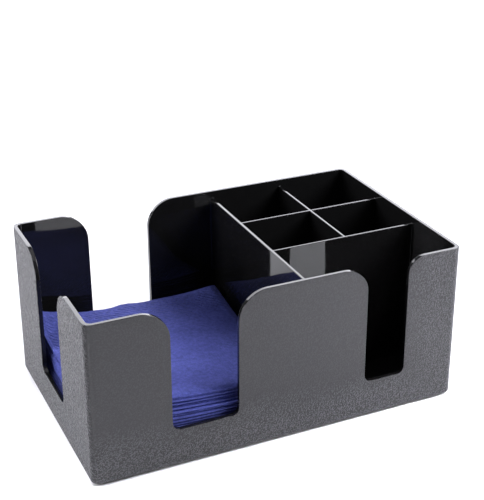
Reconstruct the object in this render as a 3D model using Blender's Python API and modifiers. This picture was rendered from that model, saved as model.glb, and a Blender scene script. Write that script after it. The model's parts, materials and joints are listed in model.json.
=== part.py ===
"""Napkin dispenser for a bar or a food counter.

One moulded caddy on four rubber feet has a large bay for folded napkins, a long slot across its front
and four square cells behind the slot. A stack of folded napkins lies in the bay. Everything is in metres,
+Z is up, +X runs along the caddy from the napkin bay to the cells, and the origin is on the surface that
the feet stand on, under the caddy's centre.
"""

import math

import bmesh
import bpy
from mathutils import Matrix, Vector

# ---- Caddy ----------------------------------------------------------------------------------------
LENGTH = 0.240
WIDTH = 0.150
BODY_HEIGHT = 0.103
FOOT_STANDS_OUT = 0.001
WALL = 0.0025
FLOOR = 0.003
CORNER_RADIUS = 0.005
INNER_CORNER_RADIUS = 0.003
BASE_EDGE_RADIUS = 0.0025
EDGE_ROUNDING = 0.0006

RIM = FOOT_STANDS_OUT + BODY_HEIGHT
UNDERSIDE = FOOT_STANDS_OUT
FLOOR_TOP = UNDERSIDE + FLOOR
INNER_X = LENGTH / 2 - WALL
INNER_Y = WIDTH / 2 - WALL

# ---- Dividers, whose tops stay a little below the rim ----------------------------------------------
DIVIDER_TOP = RIM - 0.0048
MAIN_DIVIDER_X = (0.0157, 0.0183)
CROSS_DIVIDER = 0.0022
SLOT_BACK_Y = -0.0226
CELL_SPLIT_Y = 0.0243
CELL_SPLIT_X = (MAIN_DIVIDER_X[1] + INNER_X) / 2
EMBED = 0.001

# ---- Finger notches, each open at the rim ----------------------------------------------------------
NOTCH_BOTTOM = UNDERSIDE + 0.0243
NOTCH_BOTTOM_RADIUS = 0.005
NAPKIN_NOTCH_X = -0.0503
NAPKIN_NOTCH_WIDTH = 0.0416
NAPKIN_NOTCH_RADIUS = 0.0186
SIDE_NOTCH_Y = 0.0002
SIDE_NOTCH_WIDTH = 0.0449
SIDE_NOTCH_RADIUS = 0.0165
SLOT_NOTCH_X = 0.0687
SLOT_NOTCH_WIDTH = 0.0279
SLOT_NOTCH_LEFT_RADIUS = 0.0163
SLOT_NOTCH_RIGHT_RADIUS = 0.011
CUT_PAST = 0.006

# ---- Feet -------------------------------------------------------------------------------------------
FOOT_RADIUS = 0.006
FOOT_INSET = 0.016
FOOT_SEAT_DEPTH = 0.001
FIT_GAP = 0.0003

# ---- Napkins ----------------------------------------------------------------------------------------
NAPKIN_COUNT = 18
NAPKIN_SIDE = 0.125
NAPKIN_CENTRE = (-0.0505, -0.005)
NAPKIN_CELLS = 8

PLASTIC_COLOUR = (0.022, 0.022, 0.024)
RUBBER_COLOUR = (0.03, 0.03, 0.03)
NAPKIN_COLOUR = (0.10, 0.10, 0.42)


def clear_scene():
    """Removes the objects that a new file starts with."""
    for old in list(bpy.data.objects):
        bpy.data.objects.remove(old, do_unlink=True)


def new_collection(name):
    """Returns an empty collection linked to the scene."""
    collection = bpy.data.collections.new(name)
    bpy.context.scene.collection.children.link(collection)
    return collection


def plain_material(name, colour, roughness):
    """Returns a Principled material with one colour."""
    material = bpy.data.materials.new(name)
    material.use_nodes = True
    shader = material.node_tree.nodes["Principled BSDF"]
    shader.inputs["Base Color"].default_value = (*colour, 1.0)
    shader.inputs["Roughness"].default_value = roughness
    shader.inputs["Metallic"].default_value = 0.0
    return material


def add_object(name, mesh, collection, material=None):
    """Links a mesh to a collection as a named object."""
    obj = bpy.data.objects.new(name, mesh)
    collection.objects.link(obj)
    if material:
        mesh.materials.append(material)
    return obj


def mark_cutter(obj):
    """Shows a tool body as wire and keeps it out of the model."""
    obj.hide_render = True
    obj.display_type = "WIRE"
    return obj


def box_mesh(name, low, high):
    """Returns a bmesh cube stretched between two corners."""
    low, high = Vector(low), Vector(high)
    shape = bmesh.new()
    bmesh.ops.create_cube(shape, size=1.0)
    bmesh.ops.transform(
        shape,
        matrix=Matrix.Translation((low + high) / 2) @ Matrix.Diagonal((*(high - low), 1.0)),
        verts=shape.verts,
    )
    mesh = bpy.data.meshes.new(name)
    return shape, mesh


def finish_mesh(shape, mesh):
    """Writes a bmesh to its mesh."""
    bmesh.ops.recalc_face_normals(shape, faces=shape.faces)
    shape.to_mesh(mesh)
    shape.free()
    return mesh


def round_edges(shape, chosen, radius, segments):
    """Rounds the edges for which chosen(edge) is true."""
    edges = [edge for edge in shape.edges if chosen(edge)]
    bmesh.ops.bevel(
        shape,
        geom=edges,
        offset=radius,
        offset_type="OFFSET",
        segments=segments,
        profile=0.5,
        affect="EDGES",
    )


def is_upright(edge):
    """True for an edge that runs along Z."""
    a, b = (vertex.co for vertex in edge.verts)
    return abs(a.z - b.z) > 1e-6 and (a.xy - b.xy).length < 1e-6


def boolean(obj, other, operation):
    """Adds a Boolean modifier that joins other to obj or cuts it away."""
    modifier = obj.modifiers.new(other.name, "BOOLEAN")
    modifier.operation = operation
    modifier.solver = "EXACT"
    modifier.object = other


def arc(centre, radius, start, end, steps):
    """Points on an arc, with both ends, its angles in degrees."""
    angles = [math.radians(start + (end - start) * i / steps) for i in range(steps + 1)]
    return [(centre[0] + radius * math.cos(a), centre[1] + radius * math.sin(a)) for a in angles]


def notch_outline(width, left_radius, right_radius):
    """Outline of a finger notch seen from outside: along the wall, then height, with the notch's middle at 0.

    Its sides sweep out to the rim in large arcs, and its bottom corners are small ones.
    """
    half = width / 2
    small = NOTCH_BOTTOM_RADIUS
    points = arc((-half - left_radius, RIM - left_radius), left_radius, 90, 0, 9)
    points += arc((-half + small, NOTCH_BOTTOM + small), small, 180, 270, 5)
    points += arc((half - small, NOTCH_BOTTOM + small), small, 270, 360, 5)
    points += arc((half + right_radius, RIM - right_radius), right_radius, 180, 90, 9)
    points += [(half + right_radius, RIM + CUT_PAST), (-half - left_radius, RIM + CUT_PAST)]
    return points


def prism_from_outline(name, points, depth, collection):
    """Extrudes a flat outline by depth, centred on its plane, as a closed mesh lying in XY."""
    curve = bpy.data.curves.new(name, "CURVE")
    curve.dimensions = "2D"
    curve.fill_mode = "BOTH"
    curve.extrude = depth / 2
    spline = curve.splines.new("POLY")
    spline.points.add(len(points) - 1)
    for place, (x, y) in zip(spline.points, points):
        place.co = (x, y, 0.0, 1.0)
    spline.use_cyclic_u = True
    curve_object = bpy.data.objects.new(name, curve)
    collection.objects.link(curve_object)
    bpy.context.view_layer.update()
    evaluated = curve_object.evaluated_get(bpy.context.evaluated_depsgraph_get())
    mesh = bpy.data.meshes.new_from_object(evaluated)
    bpy.data.objects.remove(curve_object, do_unlink=True)
    bpy.data.curves.remove(curve)
    shape = bmesh.new()
    shape.from_mesh(mesh)
    bmesh.ops.remove_doubles(shape, verts=shape.verts, dist=1e-6)
    bmesh.ops.dissolve_limit(
        shape, angle_limit=math.radians(0.5), verts=shape.verts, edges=shape.edges
    )
    return add_object(name, finish_mesh(shape, mesh), collection)


def notch_cutter(name, outline, depth, place, turn, collection):
    """Stands a notch outline upright, turns it about Z and moves it to its wall."""
    cutter = prism_from_outline(name, outline, depth, collection)
    cutter.rotation_euler = (math.radians(90), 0.0, turn)
    cutter.location = (place[0], place[1], 0.0)
    return mark_cutter(cutter)


def outer_block(collection, material):
    """The caddy's outside: a block with round corners and a round lower edge."""
    shape, mesh = box_mesh(
        "caddy_body",
        (-LENGTH / 2, -WIDTH / 2, UNDERSIDE),
        (LENGTH / 2, WIDTH / 2, RIM),
    )
    round_edges(shape, is_upright, CORNER_RADIUS, 6)

    def at_base(edge):
        return all(abs(vertex.co.z - UNDERSIDE) < 1e-6 for vertex in edge.verts)

    round_edges(shape, at_base, BASE_EDGE_RADIUS, 4)
    return add_object("caddy_body", finish_mesh(shape, mesh), collection, material)


def inner_space(collection):
    """The whole inside of the caddy, before the dividers stand in it."""
    shape, mesh = box_mesh(
        "inner_space",
        (-INNER_X, -INNER_Y, FLOOR_TOP),
        (INNER_X, INNER_Y, RIM + CUT_PAST),
    )
    round_edges(shape, is_upright, INNER_CORNER_RADIUS, 4)
    return mark_cutter(add_object("inner_space", finish_mesh(shape, mesh), collection))


def divider(name, low, high, collection):
    """A plate that grows out of the floor, low and high being its corners in X and Y."""
    shape, mesh = box_mesh(name, (*low, FLOOR_TOP - EMBED), (*high, DIVIDER_TOP))
    return mark_cutter(add_object(name, finish_mesh(shape, mesh), collection))


def all_dividers(collection):
    """The long divider beside the napkins, and the cross that makes the slot and the four cells."""
    half_split = CROSS_DIVIDER / 2
    root_x = MAIN_DIVIDER_X[1] - EMBED
    end_x = INNER_X + EMBED
    end_y = INNER_Y + EMBED
    return [
        divider("main_divider", (MAIN_DIVIDER_X[0], -end_y), (MAIN_DIVIDER_X[1], end_y), collection),
        divider(
            "slot_divider",
            (root_x, SLOT_BACK_Y),
            (end_x, SLOT_BACK_Y + CROSS_DIVIDER),
            collection,
        ),
        divider(
            "cell_cross_divider",
            (root_x, CELL_SPLIT_Y),
            (end_x, CELL_SPLIT_Y + CROSS_DIVIDER),
            collection,
        ),
        divider(
            "cell_long_divider",
            (CELL_SPLIT_X - half_split, SLOT_BACK_Y + EMBED),
            (CELL_SPLIT_X + half_split, end_y),
            collection,
        ),
    ]


def foot_places():
    """Names and centres of the four feet."""
    x, y = LENGTH / 2 - FOOT_INSET, WIDTH / 2 - FOOT_INSET
    return {
        "foot_front_left": (-x, -y),
        "foot_front_right": (x, -y),
        "foot_rear_left": (-x, y),
        "foot_rear_right": (x, y),
    }


def disc(name, radius, low, high, place, collection, material=None):
    """A flat round disc between two heights."""
    shape = bmesh.new()
    bmesh.ops.create_cone(
        shape, cap_ends=True, segments=32, radius1=radius, radius2=radius, depth=high - low
    )
    mesh = bpy.data.meshes.new(name)
    obj = add_object(name, finish_mesh(shape, mesh), collection, material)
    obj.location = (*place, (low + high) / 2)
    return obj


def make_feet(parts, cutters, material):
    """Four rubber discs in shallow seats. Returns the seats, which the caddy is cut by."""
    seats = []
    for name, place in foot_places().items():
        seat_top = UNDERSIDE + FOOT_SEAT_DEPTH
        foot = disc(name, FOOT_RADIUS, 0.0, seat_top - FIT_GAP, place, parts, material)
        edge = foot.modifiers.new("edge", "BEVEL")
        edge.width = FIT_GAP
        edge.segments = 2
        edge.limit_method = "ANGLE"
        seat_radius = FOOT_RADIUS + FIT_GAP
        seat = disc("seat_of_" + name, seat_radius, -CUT_PAST, seat_top, place, cutters)
        seats.append(mark_cutter(seat))
    return seats


def all_notches(cutters):
    """The notches of the napkin bay's three outer walls and of the slot."""
    napkin = notch_outline(NAPKIN_NOTCH_WIDTH, NAPKIN_NOTCH_RADIUS, NAPKIN_NOTCH_RADIUS)
    side = notch_outline(SIDE_NOTCH_WIDTH, SIDE_NOTCH_RADIUS, SIDE_NOTCH_RADIUS)
    slot = notch_outline(SLOT_NOTCH_WIDTH, SLOT_NOTCH_LEFT_RADIUS, SLOT_NOTCH_RIGHT_RADIUS)
    wall_cut = 2 * CUT_PAST
    through = WIDTH + wall_cut
    quarter = math.radians(90)
    return [
        notch_cutter("napkin_notches", napkin, through, (NAPKIN_NOTCH_X, 0.0), 0.0, cutters),
        notch_cutter("side_notch", side, wall_cut, (-LENGTH / 2, SIDE_NOTCH_Y), -quarter, cutters),
        notch_cutter("slot_notch", slot, wall_cut, (SLOT_NOTCH_X, -WIDTH / 2), 0.0, cutters),
    ]


def make_caddy(parts, cutters, material, seats):
    """The moulded body: walls, floor, dividers, notches and foot seats in one piece."""
    caddy = outer_block(parts, material)
    boolean(caddy, inner_space(cutters), "DIFFERENCE")
    for plate in all_dividers(cutters):
        boolean(caddy, plate, "UNION")
    for cutter in all_notches(cutters) + seats:
        boolean(caddy, cutter, "DIFFERENCE")
    edges = caddy.modifiers.new("rounded_edges", "BEVEL")
    edges.width = EDGE_ROUNDING
    edges.segments = 2
    edges.limit_method = "ANGLE"
    edges.angle_limit = math.radians(40)
    return caddy


def ramp(value, start, end):
    """Rises smoothly from 0 to 1 as value goes from start to end."""
    t = min(max((value - start) / (end - start), 0.0), 1.0)
    return t * t * (3 - 2 * t)


def bump(value, middle, spread):
    """A smooth hill of height 1."""
    return math.exp(-(((value - middle) / spread) ** 2))


def stack_height(u, v):
    """Height of the whole stack where u (left to right) and v (front to back) run from -1 to 1.

    Napkins spring up at their folds, sag beside the divider and curl at the rear left corner.
    """
    height = 0.0358 - 0.0012 * u
    height += 0.0040 * bump(u, -0.8, 0.5) * ramp(-v, 0.2, 1.0)
    height += 0.0082 * bump(u, -1.0, 0.30) * bump(v, 1.0, 0.19)
    height += 0.0020 * bump(u, 1.0, 0.22) * bump(v, 1.0, 0.22)
    height -= 0.0042 * ramp(u, 0.4, 1.0) * bump(v, 0.2, 0.4)
    height -= 0.0030 * ramp(-u, 0.6, 1.0) * bump(v, 0.5, 0.28)
    height += 0.0005 * math.sin(3.1 * u + 1.3 * v) * math.cos(4.3 * v - 1.7 * u)
    return height


def make_napkin(number, parts, material):
    """One folded napkin as a thin slab that follows the stack's shape at its level."""
    name = f"napkin_{number:02d}"
    half = NAPKIN_SIDE / 2
    shape = bmesh.new()
    bmesh.ops.create_grid(shape, x_segments=NAPKIN_CELLS, y_segments=NAPKIN_CELLS, size=half)
    under = list(shape.verts)
    raised = bmesh.ops.extrude_face_region(shape, geom=list(shape.faces))
    over = [item for item in raised["geom"] if isinstance(item, bmesh.types.BMVert)]
    base = FLOOR_TOP + FIT_GAP
    for vertices, level, gap in ((under, number - 1, 0.0), (over, number, FIT_GAP)):
        for vertex in vertices:
            u, v = vertex.co.x / half, vertex.co.y / half
            vertex.co.z = base + level / NAPKIN_COUNT * stack_height(u, v) - gap
    napkin = add_object(name, finish_mesh(shape, bpy.data.meshes.new(name)), parts, material)
    napkin.location = (*NAPKIN_CENTRE, 0.0)
    return napkin


def main():
    clear_scene()
    parts = new_collection("napkin_dispenser")
    cutters = new_collection("cutters")
    plastic = plain_material("black_plastic", PLASTIC_COLOUR, 0.45)
    rubber = plain_material("foot_rubber", RUBBER_COLOUR, 0.85)
    paper = plain_material("napkin_tissue", NAPKIN_COLOUR, 0.95)
    seats = make_feet(parts, cutters, rubber)
    make_caddy(parts, cutters, plastic, seats)
    for number in range(1, NAPKIN_COUNT + 1):
        make_napkin(number, parts, paper)


main()
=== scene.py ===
"""The looks of the napkin dispenser: a black moulded caddy with a stack of folded tissue napkins.

Everything is in metres in the frame's own axes: +X along the caddy from the napkin bay to the cells,
+Y from the notched front wall to the rear wall, +Z up from the surface that the feet stand on.
"""

import json
import math

import bmesh
import bpy
import numpy as np
from mathutils import Matrix, Vector


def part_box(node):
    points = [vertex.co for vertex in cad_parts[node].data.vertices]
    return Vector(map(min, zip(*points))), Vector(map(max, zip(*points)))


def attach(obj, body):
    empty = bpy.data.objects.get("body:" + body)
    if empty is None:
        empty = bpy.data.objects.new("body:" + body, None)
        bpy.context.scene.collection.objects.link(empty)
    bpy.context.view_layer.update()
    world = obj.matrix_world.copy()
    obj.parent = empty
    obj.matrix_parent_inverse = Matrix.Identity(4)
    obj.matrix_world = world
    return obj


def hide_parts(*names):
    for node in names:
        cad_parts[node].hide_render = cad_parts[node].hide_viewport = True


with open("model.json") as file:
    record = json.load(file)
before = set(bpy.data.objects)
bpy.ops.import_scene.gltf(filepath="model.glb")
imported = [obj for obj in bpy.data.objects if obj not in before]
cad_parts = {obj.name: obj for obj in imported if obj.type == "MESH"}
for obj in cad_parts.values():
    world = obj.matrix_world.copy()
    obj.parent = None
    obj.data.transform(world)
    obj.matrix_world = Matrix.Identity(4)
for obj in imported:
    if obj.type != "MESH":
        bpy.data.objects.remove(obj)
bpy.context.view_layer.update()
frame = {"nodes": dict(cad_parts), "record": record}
bpy.context.scene.view_settings.view_transform = "Standard"

# ---- Caddy sizes: the outline from the frame, the rest as in the CAD --------------------------------
BODY_LOW, BODY_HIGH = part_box("caddy_body")
UNDERSIDE = BODY_LOW.z
RIM = BODY_HIGH.z
WALL = 0.0025
FLOOR_THICKNESS = 0.003
FLOOR_TOP = UNDERSIDE + FLOOR_THICKNESS
INNER_X = BODY_HIGH.x - WALL
INNER_Y = BODY_HIGH.y - WALL
CORNER_RADIUS = 0.005
INNER_CORNER_RADIUS = 0.003
BASE_EDGE_RADIUS = 0.0025
EDGE_ROUNDING = 0.0006

DIVIDER_DROP = 0.0048
DIVIDER_TOP = RIM - DIVIDER_DROP
MAIN_DIVIDER_X = (0.0157, 0.0183)
CROSS_DIVIDER = 0.0022
SLOT_BACK_Y = -0.0226
CELL_SPLIT_Y = 0.0243
CELL_SPLIT_X = (MAIN_DIVIDER_X[1] + INNER_X) / 2

NOTCH_SILL = 0.0243
NOTCH_BOTTOM = UNDERSIDE + NOTCH_SILL
NOTCH_BOTTOM_RADIUS = 0.005
NAPKIN_NOTCH_X = -0.0503
NAPKIN_NOTCH_WIDTH = 0.0416
NAPKIN_NOTCH_RADIUS = 0.0186
SIDE_NOTCH_Y = 0.0002
SIDE_NOTCH_WIDTH = 0.0449
SIDE_NOTCH_RADIUS = 0.0165
SLOT_NOTCH_X = 0.0687
SLOT_NOTCH_WIDTH = 0.0279
SLOT_NOTCH_LEFT_RADIUS = 0.0163
SLOT_NOTCH_RIGHT_RADIUS = 0.011
FOOT_SEAT_DEPTH = 0.001
FIT_GAP = 0.0003

# ---- Moulding draft inside, which the CAD leaves out: how far each face leans over its height --------
INNER_DRAFT = 0.0006
REAR_DRAFT = 0.0023
DIVIDER_DRAFT = 0.00035

# ---- How the caddy's mesh is made -------------------------------------------------------------------
EMBED = 0.001
CUT_PAST = 0.006
LARGE_ARC_STEPS = 28
SMALL_ARC_STEPS = 12
OUTER_CORNER_STEPS = 14
INNER_CORNER_STEPS = 10
BASE_EDGE_STEPS = 8
EDGE_ROUNDING_STEPS = 4
FOOT_SEAT_STEPS = 64
ROUND_FROM_ANGLE = math.radians(40)
SHARP_FROM_ANGLE = math.radians(50)
SAME_PLACE = 1e-6
RIM_MARGIN = 1e-5
# A grained face's normal has at most this Z, and it lies beyond this share of its wall's thickness.
GRAIN_MAX_TILT = 0.35
GRAIN_WALL_SHARE = 0.75

# ---- Depth of the outside's grain and of its painted glints, from 0 to 1: it fades along X at both ends, along Z at the base ---
LEFT_WALL_FADE = (-0.1198, -0.1180)
RIGHT_END_FADE = (0.078, 0.100)
RIGHT_END_DEPTHS = (0.08, 0.36)
BASE_FADE = (0.010, 0.036)
BASE_DEPTHS = (0.48, 0.06)
# The fades' edges wander by this much.
FADE_DRIFT = 0.004
# The left wall's grain stands this many times as high as the same depth elsewhere.
LEFT_WALL_RELIEF = 2.5

# ---- Materials --------------------------------------------------------------------------------------
# Most of a noise texture's values lie in this range.
NOISE_SPAN = (0.3, 0.7)
PLASTIC_IOR = 1.5
# Distances from a napkin's middle over which its embossed border begins and ends.
EMBOSS_START = (0.026, 0.044)
EMBOSS_STOP = (0.0590, 0.0605)

# ---- Napkins ----------------------------------------------------------------------------------------
NAPKIN_COUNT = 18
NAPKIN_SIDE = 0.125
NAPKIN_CENTRE = (-0.0505, -0.005)
LEAVES = 4
LEAF_THICKNESS = 0.00026
LEAF_PITCH = 0.00045
# How far the two inner leaves move towards the outer ones, so that the four lie in pairs.
LEAF_PAIRING = 0.13
# What differs from napkin to napkin: how far the folds miss the sheet's middle, the slope of one fold,
# a shift in metres and a turn in radians.
LEAF_MISS = 0.0010
LEAF_SKEW = 0.004
NAPKIN_LOOSE = 0.0007
NAPKIN_TURN = 0.005
# Where a napkin's edge zone begins and is full, as shares of half its side.
EDGE_ZONE = (0.90, 0.97)
SIDE_STEPS = 22
OUTER_FOLD_STEPS = 8
INNER_FOLD_STEPS = 6
STACK_SEED = 7
# From this napkin up, the open edges and not the folds face the front notch.
OPEN_EDGE_FIRST = 15
# How far a napkin's leaves close up at its edges, and the share of its height that they close up to.
FOLDED_PINCH = (0.30, 0.5)
OPEN_PINCH = (0.14, 0.5)
PINCH_BELOW_GAP = (0.40, 0.1)
PINCH_ABOVE_GAP = (0.34, 0.9)

# ---- The form of the stack's top --------------------------------------------------------------------
STACK_HEIGHT = 0.0358
RIGHT_SLOPE = 0.0012
FRONT_LEFT_RISE = 0.0040
REAR_LEFT_CURL = 0.0082
REAR_RIGHT_CURL = 0.0020
RIGHT_HOLLOW = 0.0042
LEFT_HOLLOW = 0.0030
SLOW_WAVE = 0.0005
REAR_RIPPLE = 0.0007

# ---- Camera -----------------------------------------------------------------------------------------
CAMERA_AZIMUTH = math.radians(-25.5)
CAMERA_ELEVATION = math.radians(23.47)
CAMERA_ROLL = math.radians(0.27)
CAMERA_DISTANCE = 0.7783
CAMERA_RIGHT = 0.0188
CAMERA_UP = 0.1041
CAMERA_LENS = 85.33
CAMERA_SHIFT = (-0.04, -0.06)

# ---- Studio -----------------------------------------------------------------------------------------
FLOOR_REACH = 6.0
SURROUND_COLOUR = (0.92, 0.92, 1.0, 1.0)
SURROUND_STRENGTH = 0.18
LIGHT_COLOUR = (0.93, 0.93, 1.0)
# Each soft box: its place, the point it looks at, its size, its power in watts, its spread in degrees.
SOFT_BOXES = {
    "overhead": ((0.1, 0.0, 1.5), (0.0, 0.0, 0.0), (1.6, 1.2), 5.5, 180.0),
    "key_right": ((0.80, -0.45, 0.75), (0.0, 0.0, 0.05), (0.6, 0.6), 25.0, 180.0),
    "key_left": ((-1.3, 0.40, 0.50), (0.0, 0.0, 0.05), (0.6, 0.4), 19.0, 180.0),
    "back_wall": ((0.2, 1.9, 0.95), (0.0, 0.0, 0.1), (2.8, 1.2), 56.0, 180.0),
    "floor_glow": ((0.32, -0.45, 0.7), (0.17, -0.22, 0.0), (0.15, 0.15), 0.38, 35.0),
    "floor_fill": ((-0.42, -0.06, 0.7), (-0.28, -0.08, 0.0), (0.15, 0.15), 0.42, 45.0),
}


# ==== Node helpers ====================================================================================
def new_material(name):
    """A new material, with its nodes, the function that links them, and its shader."""
    material = bpy.data.materials.new(name)
    material.use_nodes = True
    nodes = material.node_tree.nodes
    return material, nodes, material.node_tree.links.new, nodes["Principled BSDF"]


def texture_place(nodes):
    """Coordinates in metres that move with the piece."""
    return nodes.new("ShaderNodeTexCoord").outputs["Object"]


def noise(nodes, link, place, scale, detail, roughness):
    """A noise texture's value."""
    node = nodes.new("ShaderNodeTexNoise")
    node.inputs["Scale"].default_value = scale
    node.inputs["Detail"].default_value = detail
    node.inputs["Roughness"].default_value = roughness
    link(place, node.inputs["Vector"])
    return node.outputs["Fac"]


def map_range(nodes, link, value, source, target):
    """Takes a value from the source range to the target range, clamped."""
    node = nodes.new("ShaderNodeMapRange")
    node.inputs["From Min"].default_value, node.inputs["From Max"].default_value = source
    node.inputs["To Min"].default_value, node.inputs["To Max"].default_value = target
    link(value, node.inputs["Value"])
    return node.outputs["Result"]


def mix_colour(nodes, link, factor, low, high):
    """Blends two fixed colours by a value."""
    node = nodes.new("ShaderNodeMix")
    node.data_type = "RGBA"
    node.inputs[6].default_value = (*low, 1.0)
    node.inputs[7].default_value = (*high, 1.0)
    link(factor, node.inputs[0])
    return node.outputs[2]


def mix_sockets(nodes, link, factor, first, second):
    """Blends two colour sockets by a value."""
    node = nodes.new("ShaderNodeMix")
    node.data_type = "RGBA"
    link(factor, node.inputs[0])
    link(first, node.inputs[6])
    link(second, node.inputs[7])
    return node.outputs[2]


def mix_value(nodes, link, factor, first, second):
    """Blends two values by a third."""
    node = nodes.new("ShaderNodeMix")
    link(factor, node.inputs[0])
    link(first, node.inputs[2])
    link(second, node.inputs[3])
    return node.outputs[0]


def math_node(nodes, link, operation, first, second):
    """A Math node on two values, each a socket or a number."""
    node = nodes.new("ShaderNodeMath")
    node.operation = operation
    for place, value in zip(node.inputs, (first, second)):
        if isinstance(value, (int, float)):
            place.default_value = value
        else:
            link(value, place)
    return node.outputs[0]


def bump(nodes, link, height, distance, under=None):
    """A bump, on top of another one if given, where a height of 1 stands for distance in metres."""
    node = nodes.new("ShaderNodeBump")
    node.inputs["Strength"].default_value = 1.0
    node.inputs["Distance"].default_value = distance
    link(height, node.inputs["Height"])
    if under:
        link(under, node.inputs["Normal"])
    return node.outputs["Normal"]


# ==== Materials =======================================================================================
def on_left_wall(nodes, link, axes):
    """1 on the end wall beside the napkins, where the grain is coarsest, and 0 elsewhere."""
    return map_range(nodes, link, axes.outputs["X"], LEFT_WALL_FADE, (1.0, 0.0))


def grain_depth(nodes, link, place, axes, left_wall):
    """How deep the grain is, and how strong its painted glints: full on the left wall, less at the base
    and right end, faint mid-panel.
    """
    cloud = noise(nodes, link, place, scale=24.0, detail=2.0, roughness=0.5)
    drift = map_range(nodes, link, cloud, NOISE_SPAN, (-FADE_DRIFT, FADE_DRIFT))
    across = math_node(nodes, link, "ADD", axes.outputs["X"], drift)
    above = math_node(nodes, link, "ADD", axes.outputs["Z"], drift)
    at_right_end = map_range(nodes, link, across, RIGHT_END_FADE, RIGHT_END_DEPTHS)
    at_base = map_range(nodes, link, above, BASE_FADE, BASE_DEPTHS)
    on_front = math_node(nodes, link, "MAXIMUM", at_right_end, at_base)
    return math_node(nodes, link, "MAXIMUM", left_wall, on_front)


def grained_plastic():
    """Black plastic with the spark-eroded grain of the mould's outside, and painted glints: bright
    specks in its colour that stand in for light caught by the grain.
    """
    material, nodes, link, shader = new_material("grained_black_plastic")
    place = texture_place(nodes)
    axes = nodes.new("ShaderNodeSeparateXYZ")
    link(place, axes.inputs["Vector"])
    left_wall = on_left_wall(nodes, link, axes)
    depth = grain_depth(nodes, link, place, axes, left_wall)
    fine = noise(nodes, link, place, scale=1150.0, detail=1.0, roughness=0.5)
    coarse = noise(nodes, link, place, scale=820.0, detail=1.0, roughness=0.5)
    grain = mix_value(nodes, link, left_wall, fine, coarse)
    # Painted glints: where the grain stands high, the base colour turns to bright specks that stand in
    # for light caught by the grain's facets; the bump below is the real relief.
    painted_glint = map_range(nodes, link, grain, (0.46, 0.64), (0.0, 1.0))
    painted_glint = math_node(nodes, link, "MULTIPLY", painted_glint, depth)
    height = math_node(nodes, link, "MULTIPLY", grain, depth)
    relief = map_range(nodes, link, left_wall, (0.0, 1.0), (1.0, LEFT_WALL_RELIEF))
    height = math_node(nodes, link, "MULTIPLY", height, relief)
    # The plastic's own near-black, lightened to the painted glints' colour where the specks lie, less
    # bright on the left wall.
    long_wall_glints = mix_colour(nodes, link, painted_glint, (0.005, 0.005, 0.006), (0.125, 0.125, 0.135))
    left_wall_glints = mix_colour(nodes, link, painted_glint, (0.005, 0.005, 0.006), (0.082, 0.082, 0.088))
    link(mix_sockets(nodes, link, left_wall, long_wall_glints, left_wall_glints), shader.inputs["Base Color"])
    link(map_range(nodes, link, left_wall, (0.0, 1.0), (0.42, 0.38)), shader.inputs["Roughness"])
    link(bump(nodes, link, height, distance=0.0020), shader.inputs["Normal"])
    shader.inputs["IOR"].default_value = PLASTIC_IOR
    return material


def polished_plastic():
    """The same plastic where the mould is polished: inside, on the dividers, rims and notches."""
    material, nodes, link, shader = new_material("polished_black_plastic")
    place = texture_place(nodes)
    waves = noise(nodes, link, place, scale=22.0, detail=1.0, roughness=0.4)
    haze = noise(nodes, link, place, scale=160.0, detail=4.0, roughness=0.6)
    colour = mix_colour(nodes, link, haze, (0.0042, 0.0042, 0.0042), (0.0062, 0.0062, 0.0062))
    link(colour, shader.inputs["Base Color"])
    link(map_range(nodes, link, haze, (0.35, 0.7), (0.025, 0.060)), shader.inputs["Roughness"])
    link(bump(nodes, link, waves, distance=0.0002), shader.inputs["Normal"])
    shader.inputs["IOR"].default_value = PLASTIC_IOR
    shader.inputs["Specular IOR Level"].default_value = 0.42
    return material


def foot_rubber():
    """Matt black rubber with a fine dusty grain."""
    material, nodes, link, shader = new_material("foot_rubber")
    place = texture_place(nodes)
    grain = noise(nodes, link, place, scale=1800.0, detail=3.0, roughness=0.6)
    dust = noise(nodes, link, place, scale=240.0, detail=3.0, roughness=0.6)
    colour = mix_colour(nodes, link, dust, (0.020, 0.020, 0.020), (0.045, 0.044, 0.042))
    link(colour, shader.inputs["Base Color"])
    link(map_range(nodes, link, grain, NOISE_SPAN, (0.75, 0.92)), shader.inputs["Roughness"])
    link(bump(nodes, link, grain, distance=0.0001), shader.inputs["Normal"])
    return material


def border_emboss(nodes, link, place):
    """Wavy ridges in a band along the napkin's left and rear edges."""
    waves = nodes.new("ShaderNodeTexWave")
    waves.bands_direction = "DIAGONAL"
    waves.inputs["Scale"].default_value = 150.0
    waves.inputs["Distortion"].default_value = 4.0
    waves.inputs["Detail"].default_value = 1.0
    waves.inputs["Detail Scale"].default_value = 1.5
    link(place, waves.inputs["Vector"])
    axes = nodes.new("ShaderNodeSeparateXYZ")
    link(place, axes.inputs["Vector"])
    to_left = math_node(nodes, link, "SUBTRACT", NAPKIN_CENTRE[0], axes.outputs["X"])
    to_rear = math_node(nodes, link, "SUBTRACT", axes.outputs["Y"], NAPKIN_CENTRE[1])
    outward = math_node(nodes, link, "MAXIMUM", to_left, to_rear)
    start = map_range(nodes, link, outward, EMBOSS_START, (0.0, 1.0))
    stop = map_range(nodes, link, outward, EMBOSS_STOP, (1.0, 0.0))
    band = math_node(nodes, link, "MULTIPLY", start, stop)
    return math_node(nodes, link, "MULTIPLY", waves.outputs["Fac"], band)


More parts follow.
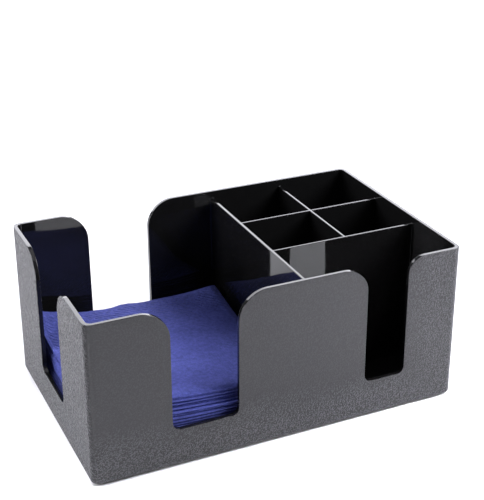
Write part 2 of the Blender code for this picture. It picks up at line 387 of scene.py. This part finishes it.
def tissue():
    """Blue-violet tissue with pin embossing, soft mottling, and painted shade in the hollows of its
    crinkles.
    """
    material, nodes, link, shader = new_material("napkin_tissue")
    place = texture_place(nodes)
    pins = nodes.new("ShaderNodeTexVoronoi")
    pins.feature = "F1"
    pins.inputs["Scale"].default_value = 620.0
    pins.inputs["Randomness"].default_value = 0.25
    link(place, pins.inputs["Vector"])
    fibre = noise(nodes, link, place, scale=1500.0, detail=2.0, roughness=0.6)
    crinkle = noise(nodes, link, place, scale=420.0, detail=2.0, roughness=0.5)
    cloud = noise(nodes, link, place, scale=75.0, detail=3.0, roughness=0.6)
    soft = map_range(nodes, link, cloud, NOISE_SPAN, (0.0, 0.25))
    # Painted shade: the colour darkens where the crinkle relief dips, following the same noise as the
    # crinkle bump; the fibre threads and soft clouds are random tone.
    painted_crease_shade = map_range(nodes, link, crinkle, NOISE_SPAN, (0.0, 0.35))
    threads = map_range(nodes, link, fibre, NOISE_SPAN, (0.0, 0.40))
    tone_and_crease_shade = math_node(nodes, link, "ADD", threads, math_node(nodes, link, "ADD", painted_crease_shade, soft))
    colour = mix_colour(nodes, link, tone_and_crease_shade, (0.026, 0.034, 0.130), (0.086, 0.102, 0.375))
    link(colour, shader.inputs["Base Color"])
    link(map_range(nodes, link, fibre, NOISE_SPAN, (0.80, 0.96)), shader.inputs["Roughness"])
    relief = bump(nodes, link, crinkle, distance=0.0002)
    relief = bump(nodes, link, pins.outputs["Distance"], distance=0.0003, under=relief)
    relief = bump(nodes, link, fibre, distance=0.00012, under=relief)
    ridges = border_emboss(nodes, link, place)
    relief = bump(nodes, link, ridges, distance=0.0005, under=relief)
    link(relief, shader.inputs["Normal"])
    shader.inputs["Sheen Weight"].default_value = 0.05
    shader.inputs["Sheen Roughness"].default_value = 0.5
    shader.inputs["Sheen Tint"].default_value = (0.55, 0.55, 0.9, 1.0)
    shader.inputs["Specular IOR Level"].default_value = 0.1
    return material


def pale_floor():
    """A plain white table."""
    material, nodes, link, shader = new_material("pale_floor")
    place = texture_place(nodes)
    cloud = noise(nodes, link, place, scale=3.0, detail=2.0, roughness=0.5)
    colour = mix_colour(nodes, link, cloud, (0.88, 0.88, 0.88), (0.92, 0.92, 0.92))
    link(colour, shader.inputs["Base Color"])
    shader.inputs["Roughness"].default_value = 0.9
    return material


# ==== Mesh helpers ====================================================================================
def add_object(name, mesh, material=None):
    """Links a mesh to the scene as a named object."""
    obj = bpy.data.objects.new(name, mesh)
    bpy.context.scene.collection.objects.link(obj)
    if material:
        mesh.materials.append(material)
    return obj


def finish_mesh(shape, name):
    """Writes a bmesh to a new mesh with its faces pointing out."""
    bmesh.ops.recalc_face_normals(shape, faces=shape.faces)
    mesh = bpy.data.meshes.new(name)
    shape.to_mesh(mesh)
    shape.free()
    return mesh


def box_shape(low, high):
    """A bmesh cube stretched between two corners."""
    low, high = Vector(low), Vector(high)
    shape = bmesh.new()
    bmesh.ops.create_cube(shape, size=1.0)
    stretch = Matrix.Diagonal((*(high - low), 1.0))
    bmesh.ops.transform(
        shape, matrix=Matrix.Translation((low + high) / 2) @ stretch, verts=shape.verts
    )
    return shape


def round_edges(shape, chosen, radius, segments):
    """Rounds the edges for which chosen(edge) is true."""
    bmesh.ops.bevel(
        shape,
        geom=[edge for edge in shape.edges if chosen(edge)],
        offset=radius,
        offset_type="OFFSET",
        segments=segments,
        profile=0.5,
        affect="EDGES",
    )


def is_upright(edge):
    """True for an edge that runs along Z."""
    a, b = (vertex.co for vertex in edge.verts)
    return abs(a.z - b.z) > SAME_PLACE and (a.xy - b.xy).length < SAME_PLACE


def is_at_base(edge):
    """True for an edge of the caddy's underside."""
    return all(abs(vertex.co.z - UNDERSIDE) < SAME_PLACE for vertex in edge.verts)


def apply_modifiers(obj):
    """Turns an object's modifiers into its mesh."""
    bpy.context.view_layer.update()
    evaluated = obj.evaluated_get(bpy.context.evaluated_depsgraph_get())
    mesh = bpy.data.meshes.new_from_object(evaluated)
    obj.modifiers.clear()
    obj.data = mesh


def combine(obj, others, operation):
    """Joins the others to obj, or cuts them away, and removes them."""
    for other in others:
        modifier = obj.modifiers.new(other.name, "BOOLEAN")
        modifier.operation = operation
        modifier.solver = "EXACT"
        modifier.object = other
    apply_modifiers(obj)
    for other in others:
        bpy.data.objects.remove(other, do_unlink=True)


# ==== Caddy ===========================================================================================
def arc(centre, radius, start, end, steps):
    """Points on an arc, both ends among them, from one angle in degrees to another."""
    angles = [math.radians(start + (end - start) * i / steps) for i in range(steps + 1)]
    return [(centre[0] + radius * math.cos(a), centre[1] + radius * math.sin(a)) for a in angles]


def notch_outline(width, left_radius, right_radius):
    """A finger notch seen from outside: places along the wall, 0 at the notch's middle, and heights."""
    half = width / 2
    small = NOTCH_BOTTOM_RADIUS
    points = arc((-half - left_radius, RIM - left_radius), left_radius, 90, 0, LARGE_ARC_STEPS)
    points += arc((-half + small, NOTCH_BOTTOM + small), small, 180, 270, SMALL_ARC_STEPS)
    points += arc((half - small, NOTCH_BOTTOM + small), small, 270, 360, SMALL_ARC_STEPS)
    points += arc((half + right_radius, RIM - right_radius), right_radius, 180, 90, LARGE_ARC_STEPS)
    points += [(half + right_radius, RIM + CUT_PAST), (-half - left_radius, RIM + CUT_PAST)]
    return points


def notch_cutter(name, outline, depth, place, turn):
    """A notch outline as an upright prism, turned about Z and moved to its wall."""
    shape = bmesh.new()
    near = [shape.verts.new((x, -depth / 2, z)) for x, z in outline]
    face = shape.faces.new(near)
    far = bmesh.ops.extrude_face_region(shape, geom=[face])
    moved = [item for item in far["geom"] if isinstance(item, bmesh.types.BMVert)]
    bmesh.ops.translate(shape, vec=(0.0, depth, 0.0), verts=moved)
    where = Matrix.Translation((*place, 0.0)) @ Matrix.Rotation(turn, 4, "Z")
    bmesh.ops.transform(shape, matrix=where, verts=shape.verts)
    return add_object(name, finish_mesh(shape, name))


def notch_cutters():
    """The notches of the napkin bay's three outer walls and of the slot."""
    napkin = notch_outline(NAPKIN_NOTCH_WIDTH, NAPKIN_NOTCH_RADIUS, NAPKIN_NOTCH_RADIUS)
    side = notch_outline(SIDE_NOTCH_WIDTH, SIDE_NOTCH_RADIUS, SIDE_NOTCH_RADIUS)
    slot = notch_outline(SLOT_NOTCH_WIDTH, SLOT_NOTCH_LEFT_RADIUS, SLOT_NOTCH_RIGHT_RADIUS)
    wall_cut = 2 * CUT_PAST
    through = BODY_HIGH.y - BODY_LOW.y + wall_cut
    quarter = math.radians(90)
    return [
        notch_cutter("napkin_notches", napkin, through, (NAPKIN_NOTCH_X, 0.0), 0.0),
        notch_cutter("side_notch", side, wall_cut, (BODY_LOW.x, SIDE_NOTCH_Y), -quarter),
        notch_cutter("slot_notch", slot, wall_cut, (SLOT_NOTCH_X, BODY_LOW.y), 0.0),
    ]


def outer_block():
    """The caddy's outside: a block with round corners and a round lower edge."""
    shape = box_shape(BODY_LOW, BODY_HIGH)
    round_edges(shape, is_upright, CORNER_RADIUS, OUTER_CORNER_STEPS)
    round_edges(shape, is_at_base, BASE_EDGE_RADIUS, BASE_EDGE_STEPS)
    return add_object("caddy", finish_mesh(shape, "caddy"))


def inner_space():
    """The whole inside of the caddy, before the dividers stand in it."""
    shape = box_shape((-INNER_X, -INNER_Y, FLOOR_TOP), (INNER_X, INNER_Y, RIM + CUT_PAST))
    round_edges(shape, is_upright, INNER_CORNER_RADIUS, INNER_CORNER_STEPS)
    for vertex in shape.verts:
        if vertex.co.z < FLOOR_TOP + CUT_PAST:
            vertex.co.x -= math.copysign(INNER_DRAFT, vertex.co.x)
            vertex.co.y -= REAR_DRAFT if vertex.co.y > 0 else -INNER_DRAFT
    return add_object("inner_space", finish_mesh(shape, "inner_space"))


def divider(name, low, high):
    """A plate that grows out of the floor and thins to its top, low and high being its base corners."""
    shape = box_shape((*low, FLOOR_TOP - EMBED), (*high, DIVIDER_TOP))
    thin = 0 if high[0] - low[0] < high[1] - low[1] else 1
    middle = (low[thin] + high[thin]) / 2
    for vertex in shape.verts:
        if vertex.co.z > FLOOR_TOP:
            vertex.co[thin] -= math.copysign(DIVIDER_DRAFT, vertex.co[thin] - middle)
    return add_object(name, finish_mesh(shape, name))


def dividers():
    """The long divider beside the napkins, and the cross that makes the slot and the four cells."""
    half_split = CROSS_DIVIDER / 2
    root_x = MAIN_DIVIDER_X[1] - EMBED
    end_x = INNER_X + EMBED
    end_y = INNER_Y + EMBED
    slot_high_y = SLOT_BACK_Y + CROSS_DIVIDER
    cell_high_y = CELL_SPLIT_Y + CROSS_DIVIDER
    return [
        divider("main_divider", (MAIN_DIVIDER_X[0], -end_y), (MAIN_DIVIDER_X[1], end_y)),
        divider("slot_divider", (root_x, SLOT_BACK_Y), (end_x, slot_high_y)),
        divider("cell_cross_divider", (root_x, CELL_SPLIT_Y), (end_x, cell_high_y)),
        divider(
            "cell_long_divider",
            (CELL_SPLIT_X - half_split, SLOT_BACK_Y + EMBED),
            (CELL_SPLIT_X + half_split, end_y),
        ),
    ]


def foot_seats():
    """Shallow round seats under the caddy, one over each foot."""
    seats = []
    for name in frame["nodes"]:
        if not name.startswith("foot_"):
            continue
        low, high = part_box(name)
        shape = bmesh.new()
        radius = (high.x - low.x) / 2 + FIT_GAP
        seat_top = UNDERSIDE + FOOT_SEAT_DEPTH
        bmesh.ops.create_cone(
            shape,
            cap_ends=True,
            segments=FOOT_SEAT_STEPS,
            radius1=radius,
            radius2=radius,
            depth=2 * CUT_PAST,
        )
        middle = (low + high) / 2
        bmesh.ops.translate(
            shape, vec=(middle.x, middle.y, seat_top - CUT_PAST), verts=shape.verts
        )
        seats.append(add_object("seat_" + name, finish_mesh(shape, "seat_" + name)))
    return seats


def is_grained(face):
    """True for a face of the outside with the mould's grain: not of a rim, a notch or the base."""
    centre, normal = face.calc_center_median(), face.normal
    if abs(normal.z) > GRAIN_MAX_TILT or centre.z > RIM - RIM_MARGIN:
        return False
    near_end = abs(centre.x) > BODY_HIGH.x - CORNER_RADIUS
    near_side = abs(centre.y) > BODY_HIGH.y - CORNER_RADIUS
    near_corner = near_end and near_side
    in_wall_x = abs(centre.x) > INNER_X + GRAIN_WALL_SHARE * WALL
    in_wall_y = abs(centre.y) > INNER_Y + GRAIN_WALL_SHARE * WALL
    faces_end = near_end and centre.x * normal.x > 0
    faces_side = near_side and centre.y * normal.y > 0
    return (faces_end and (in_wall_x or near_corner)) or (faces_side and (in_wall_y or near_corner))


def make_caddy(grained, polished, body):
    """The moulded caddy with every edge softly rounded."""
    caddy = outer_block()
    combine(caddy, [inner_space()], "DIFFERENCE")
    combine(caddy, dividers(), "UNION")
    combine(caddy, notch_cutters() + foot_seats(), "DIFFERENCE")
    edges = caddy.modifiers.new("rounded_edges", "BEVEL")
    edges.width = EDGE_ROUNDING
    edges.segments = EDGE_ROUNDING_STEPS
    edges.limit_method = "ANGLE"
    edges.angle_limit = ROUND_FROM_ANGLE
    edges.miter_outer = "MITER_ARC"
    apply_modifiers(caddy)
    caddy.data.materials.clear()
    caddy.data.materials.append(polished)
    caddy.data.materials.append(grained)
    shape = bmesh.new()
    shape.from_mesh(caddy.data)
    for face in shape.faces:
        face.material_index = 1 if is_grained(face) else 0
        face.smooth = True
    shape.to_mesh(caddy.data)
    shape.free()
    caddy.data.set_sharp_from_angle(angle=SHARP_FROM_ANGLE)
    weighted = caddy.modifiers.new("flat_panels", "WEIGHTED_NORMAL")
    weighted.keep_sharp = True
    weighted.weight = 100
    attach(caddy, body)
    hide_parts("caddy_body")


# ==== Napkins =========================================================================================
def ramp(value, start, end):
    """Rises smoothly from 0 to 1 as value goes from start to end."""
    t = np.clip((value - start) / (end - start), 0.0, 1.0)
    return t * t * (3 - 2 * t)


def hill(value, middle, spread):
    """A smooth hill of height 1."""
    return np.exp(-(((value - middle) / spread) ** 2))


def stack_height(u, v):
    """Height of the whole stack at u (left to right) and v (front to back), which run from -1 to 1.

    The places and widths of its hills and ramps are in the same units as u and v.
    """
    height = STACK_HEIGHT - RIGHT_SLOPE * u
    height += FRONT_LEFT_RISE * hill(u, -0.8, 0.5) * ramp(-v, 0.2, 1.0)
    height += REAR_LEFT_CURL * hill(u, -1.0, 0.30) * hill(v, 1.0, 0.19)
    height += REAR_RIGHT_CURL * hill(u, 1.0, 0.22) * hill(v, 1.0, 0.22)
    height -= RIGHT_HOLLOW * ramp(u, 0.4, 1.0) * hill(v, 0.2, 0.4)
    height -= LEFT_HOLLOW * ramp(-u, 0.6, 1.0) * hill(v, 0.5, 0.28)
    height += SLOW_WAVE * np.sin(3.1 * u + 1.3 * v) * np.cos(4.3 * v - 1.7 * u)
    ripple = np.sin(11.0 * u + 2.0 * v) + 0.7 * np.sin(19.0 * u - 5.0 * v + 1.0)
    height += REAR_RIPPLE * ripple * ramp(v, 0.45, 1.0) * ramp(-u, -0.6, 0.4)
    return height


def sheet_steps(miss, radius, fold_steps):
    """Places across a sheet from one cut edge to the other, close together where it folds at 0."""
    bend = radius * math.pi / 2
    left = np.linspace(-(NAPKIN_SIDE + miss), -bend, SIDE_STEPS, endpoint=False)
    fold = np.linspace(-bend, bend, fold_steps, endpoint=False)
    right = np.linspace(bend, NAPKIN_SIDE - miss, SIDE_STEPS + 1)
    return np.concatenate([left, fold, right])


def fold_over(along, offset, radius):
    """Folds a layer about 0 round a radius: returns each point's way from the fold, and its level."""
    bend = radius * math.pi / 2
    turn = np.clip(along / radius, -math.pi / 2, math.pi / 2)
    straight = np.maximum(np.abs(along) - bend, 0.0)
    reach = radius + offset
    return straight - reach * np.cos(turn), reach * np.sin(turn)


def edge_share(share, number, at_edge):
    """Pinches a napkin's leaves together at its edges, so that dark gaps part it from its neighbours."""
    pinch, middle = FOLDED_PINCH if number < OPEN_EDGE_FIRST else OPEN_PINCH
    if number == OPEN_EDGE_FIRST - 1:
        pinch, middle = PINCH_BELOW_GAP
    if number == OPEN_EDGE_FIRST:
        pinch, middle = PINCH_ABOVE_GAP
    return share + (middle - share) * pinch * at_edge


def make_napkin(number, random, material, body):
    """One square of tissue folded twice into four leaves, lying in the space of its CAD slab."""
    half = NAPKIN_SIDE / 2
    inner, outer = LEAF_PITCH / 2, LEAF_PITCH
    miss_a, miss_b = random.uniform(-LEAF_MISS, LEAF_MISS, 2)
    a = sheet_steps(miss_a, outer, OUTER_FOLD_STEPS)
    b = sheet_steps(miss_b, inner, INNER_FOLD_STEPS)
    a, b = np.meshgrid(a, b, indexing="ij")
    skew = random.uniform(-LEAF_SKEW, LEAF_SKEW)
    y, level = fold_over(b + skew * a, 0.0, inner)
    x, level = fold_over(a, level, outer)
    share = (level / LEAF_PITCH + (LEAVES - 1) / 2) / (LEAVES - 1)
    share = share - LEAF_PAIRING * np.sin(2 * math.pi * share)
    x, y = x - half, y - half
    from_middle = np.maximum(np.abs(x), np.abs(y))
    share = edge_share(share, number, ramp(from_middle, EDGE_ZONE[0] * half, EDGE_ZONE[1] * half))
    quarter_turns = 1 if number < OPEN_EDGE_FIRST else 3
    turn = quarter_turns * math.pi / 2 + random.uniform(-NAPKIN_TURN, NAPKIN_TURN)
    x, y = x * math.cos(turn) - y * math.sin(turn), x * math.sin(turn) + y * math.cos(turn)
    x = x + random.uniform(-NAPKIN_LOOSE, NAPKIN_LOOSE)
    y = y + random.uniform(-NAPKIN_LOOSE, NAPKIN_LOOSE)
    height = stack_height(x / half, y / half) / NAPKIN_COUNT
    margin = LEAF_THICKNESS / 2
    room = height - FIT_GAP - 2 * margin
    z = FLOOR_TOP + FIT_GAP + (number - 1) * height + margin + share * room
    points = np.stack([x + NAPKIN_CENTRE[0], y + NAPKIN_CENTRE[1], z], -1).reshape(-1, 3)
    index = np.arange(a.size).reshape(a.shape)
    quads = np.stack([index[:-1, :-1], index[1:, :-1], index[1:, 1:], index[:-1, 1:]], -1)
    name = f"tissue_{number:02d}"
    mesh = bpy.data.meshes.new(name)
    mesh.from_pydata(points.tolist(), [], quads.reshape(-1, 4).tolist())
    mesh.shade_smooth()
    napkin = add_object(name, mesh, material)
    leaf = napkin.modifiers.new("leaf", "SOLIDIFY")
    leaf.thickness = LEAF_THICKNESS
    leaf.offset = 0.0
    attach(napkin, body)
    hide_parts(f"napkin_{number:02d}")


def make_napkins(material):
    """The stack, each napkin on the body that its CAD slab rides on."""
    body_of = {
        node: body
        for body, nodes in frame["record"]["behaviour"]["bodies"].items()
        for node in nodes
    }
    random = np.random.default_rng(STACK_SEED)
    for number in range(1, NAPKIN_COUNT + 1):
        make_napkin(number, random, material, body_of[f"napkin_{number:02d}"])


# ==== Stage ===========================================================================================
def make_floor():
    """A wide plain floor."""
    shape = bmesh.new()
    bmesh.ops.create_grid(shape, x_segments=1, y_segments=1, size=FLOOR_REACH)
    floor = add_object("floor", finish_mesh(shape, "floor"), pale_floor())


def make_world():
    """An even, slightly cool surround."""
    world = bpy.data.worlds.new("studio")
    world.use_nodes = True
    background = world.node_tree.nodes["Background"]
    background.inputs["Color"].default_value = SURROUND_COLOUR
    background.inputs["Strength"].default_value = SURROUND_STRENGTH
    bpy.context.scene.world = world


def soft_box(name, place, target, size, power, spread):
    """A rectangular area light that looks at a point, its spread in degrees."""
    light = bpy.data.lights.new(name, "AREA")
    light.shape = "RECTANGLE"
    light.size, light.size_y = size
    light.energy = power
    light.color = LIGHT_COLOUR
    light.spread = math.radians(spread)
    obj = bpy.data.objects.new(name, light)
    bpy.context.scene.collection.objects.link(obj)
    obj.location = place
    obj.rotation_euler = (Vector(target) - Vector(place)).to_track_quat("-Z", "Y").to_euler()


def make_camera():
    """The camera at the photograph's angle."""
    azimuth, elevation = CAMERA_AZIMUTH, CAMERA_ELEVATION
    back = Vector(
        (
            math.sin(azimuth) * math.cos(elevation),
            -math.cos(azimuth) * math.cos(elevation),
            math.sin(elevation),
        )
    )
    level_right = (-back).cross(Vector((0.0, 0.0, 1.0))).normalized()
    level_up = level_right.cross(-back)
    c, s = math.cos(CAMERA_ROLL), math.sin(CAMERA_ROLL)
    right = c * level_right + s * level_up
    up = -s * level_right + c * level_up
    base = Vector((0.0, 0.0, UNDERSIDE))
    place = base + back * CAMERA_DISTANCE + right * CAMERA_RIGHT + up * CAMERA_UP
    data = bpy.data.cameras.new("camera")
    data.lens = CAMERA_LENS
    data.shift_x, data.shift_y = CAMERA_SHIFT
    camera = bpy.data.objects.new("camera", data)
    bpy.context.scene.collection.objects.link(camera)
    camera.matrix_world = Matrix.Translation(place) @ Matrix((right, up, back)).transposed().to_4x4()
    bpy.context.scene.camera = camera


# ==== Build ===========================================================================================
make_camera()
make_world()
make_floor()
for light_name, light_values in SOFT_BOXES.items():
    soft_box(light_name, *light_values)
make_caddy(grained_plastic(), polished_plastic(), "caddy")
make_napkins(tissue())
rubber = foot_rubber()
for foot_name in [name for name in frame["nodes"] if name.startswith("foot_")]:
    foot = frame["nodes"][foot_name]
    foot.data.materials.clear()
    foot.data.materials.append(rubber)
